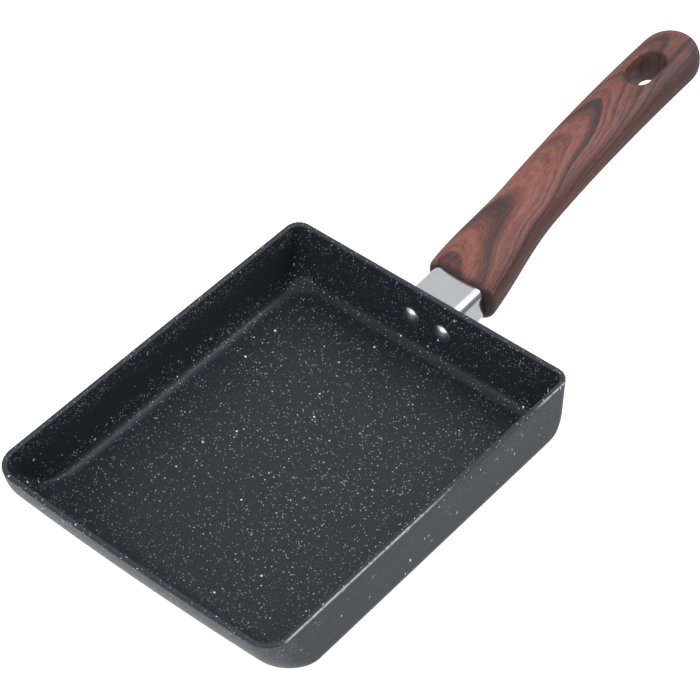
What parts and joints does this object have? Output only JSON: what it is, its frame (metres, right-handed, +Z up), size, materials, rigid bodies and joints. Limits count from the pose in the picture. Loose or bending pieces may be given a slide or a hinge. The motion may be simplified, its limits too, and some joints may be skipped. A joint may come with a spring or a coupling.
{
  "type": "tamagoyaki pan",
  "caption": "Rectangular omelette pan with speckled coating, swept front wall, riveted bracket, metal sleeve and wood-look handle with a hanging slot.",
  "frame": {"origin": "on the underside, below the middle of the rectangular rim", "axes": "+Z up, +Y from the pan towards the handle, +X across the pan"},
  "size_m": [0.149, 0.3683, 0.063],
  "materials": {
    "coating": "dark non-stick coating with fine pale speckles, satin",
    "rivet_metal": "bare, satin",
    "polished_sleeve": "polished",
    "wood_look": "moulded resin with a reddish wood-grain film, satin",
    "bracket_steel": "plain pressed steel",
    "screw_steel": "zinc plated"
  },
  "bodies": {
    "root": {"pan_body": "coating", "rivet_left": "rivet_metal", "rivet_right": "rivet_metal", "flame_guard": "polished_sleeve", "handle_grip": "wood_look", "handle_bracket": "bracket_steel", "bracket_nut": "bracket_steel", "handle_screw": "screw_steel", "screw_washer": "screw_steel"}
  },
  "joints": []
}
